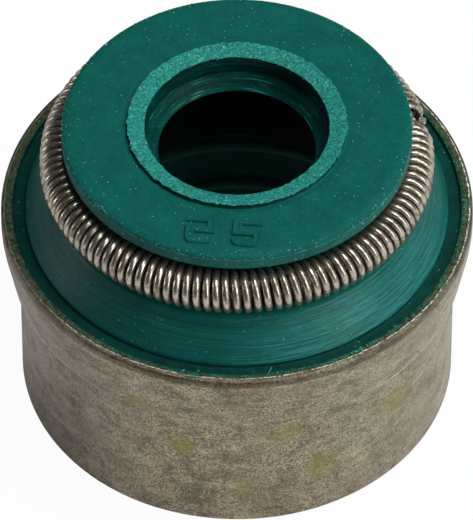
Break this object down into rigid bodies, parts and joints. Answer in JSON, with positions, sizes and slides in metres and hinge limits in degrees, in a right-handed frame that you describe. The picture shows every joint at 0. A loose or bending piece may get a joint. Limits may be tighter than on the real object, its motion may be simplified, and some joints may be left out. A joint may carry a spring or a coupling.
{
  "type": "valve stem seal",
  "caption": "Valve stem seal: a rubber body moulded into a stepped steel case, with a garter spring round the neck over its sealing lip.",
  "frame": {"origin": "on the seal's axis, in the plane of the case's lower edge", "axes": "+Z along the axis from the valve guide socket towards the sealing lip and the head; -Y is the side that carries the raised cavity number"},
  "size_m": [0.022, 0.022, 0.0164],
  "materials": {
    "case_steel": "phosphated and oiled sheet steel, dull, with olive and brown stains",
    "seal_rubber": "satin green fluoro-rubber, ground on the ring round its mouth",
    "spring_wire": "bright drawn spring wire"
  },
  "bodies": {
    "root": {"metal_case": "case_steel", "rubber_body": "seal_rubber", "garter_spring": "spring_wire"}
  },
  "joints": []
}
